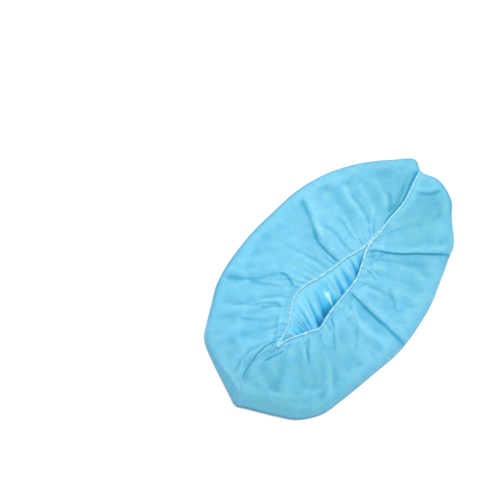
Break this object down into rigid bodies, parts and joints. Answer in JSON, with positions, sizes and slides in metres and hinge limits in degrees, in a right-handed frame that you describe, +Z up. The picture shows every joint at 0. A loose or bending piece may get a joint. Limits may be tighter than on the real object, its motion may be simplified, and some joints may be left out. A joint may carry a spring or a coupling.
{
  "type": "disposable shoe cover",
  "caption": "Light blue non-woven overshoe lying open side up: gathered bag with flat sole, elastic round a leaf-shaped opening, seams over toe and heel.",
  "frame": {"origin": "on the ground under the middle of the whole cover's box", "axes": "+X towards the toe end, +Z up out of the opening, the sole lies on Z = 0"},
  "size_m": [0.3612, 0.2164, 0.0394],
  "materials": {
    "nonwoven": "thin spun-bonded polypropylene, matte with a soft sheen",
    "elastic": "white covered elastic in overlock stitches, matte",
    "seam_thread": "white overlock thread, matte",
    "heel_weld": "welded edge of the same non-woven fabric"
  },
  "bodies": {
    "root": {"fabric_body": "nonwoven", "opening_elastic": "elastic", "toe_seam": "seam_thread", "heel_seam": "heel_weld"}
  },
  "joints": []
}
